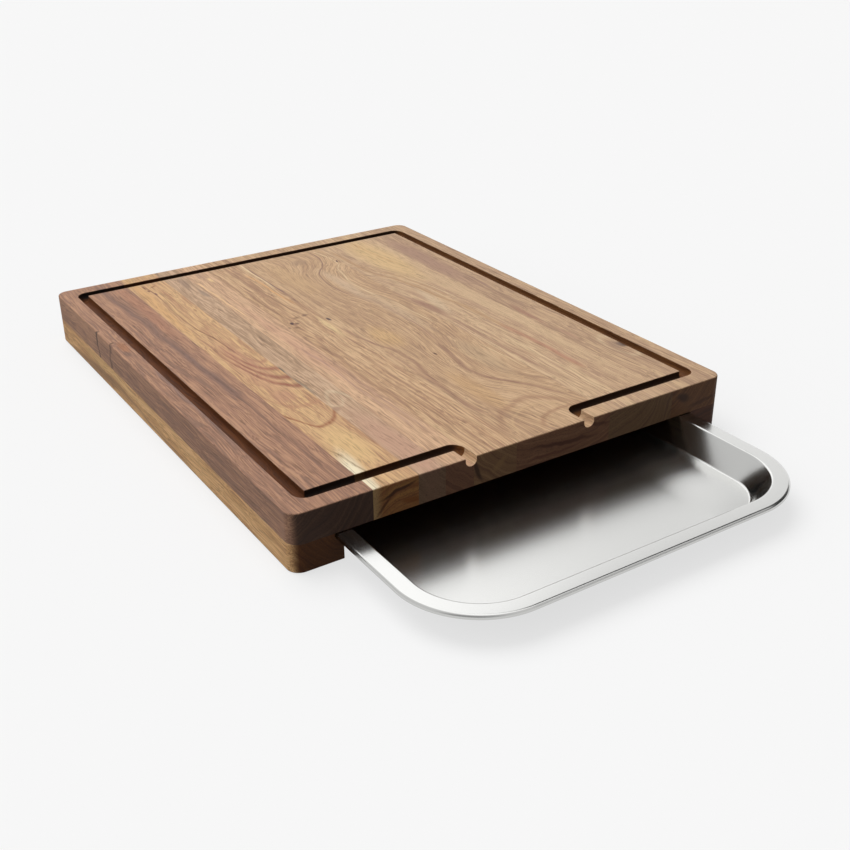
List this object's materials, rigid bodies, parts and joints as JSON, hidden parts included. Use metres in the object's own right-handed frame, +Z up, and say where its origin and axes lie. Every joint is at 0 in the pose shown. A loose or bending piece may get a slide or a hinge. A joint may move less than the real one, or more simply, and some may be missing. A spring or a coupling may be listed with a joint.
{
  "type": "cutting board with pull-out tray",
  "caption": "Wooden cutting board glued up from staves, with a juice groove that drains through front spouts into a steel tray sliding in a bay under the board.",
  "frame": {"origin": "On the worktop, in the middle of the outline of the board and tray together, with the tray standing 109 mm out of the board.", "axes": "X across the board, with +X to the right as seen from the tray's mouth; Y along it, with -Y the way the tray pulls out; Z up from the worktop."},
  "size_m": [0.312, 0.499, 0.037],
  "materials": {
    "reddish_brown_wood": "oiled, satin",
    "golden_wood": "oiled, satin",
    "grey_brown_wood": "oiled, satin",
    "pinkish_wood": "oiled, satin",
    "tan_wood": "oiled, satin",
    "stainless_steel": "satin"
  },
  "bodies": {
    "board": {"top_stave_1": "reddish_brown_wood", "top_stave_2": "golden_wood", "top_stave_3": "grey_brown_wood", "top_stave_4": "pinkish_wood", "top_stave_5": "grey_brown_wood", "top_stave_6": "tan_wood", "top_stave_7": "tan_wood", "top_stave_8": "pinkish_wood", "left_rail": "golden_wood", "right_rail": "reddish_brown_wood", "back_rail": "reddish_brown_wood"},
    "tray": {"steel_tray": "stainless_steel"}
  },
  "joints": [
    {"name": "tray_slide", "type": "slide", "parent": "board", "child": "tray", "axis": [0, -1, 0], "range_m": [-0.109, 0.255]}
  ]
}
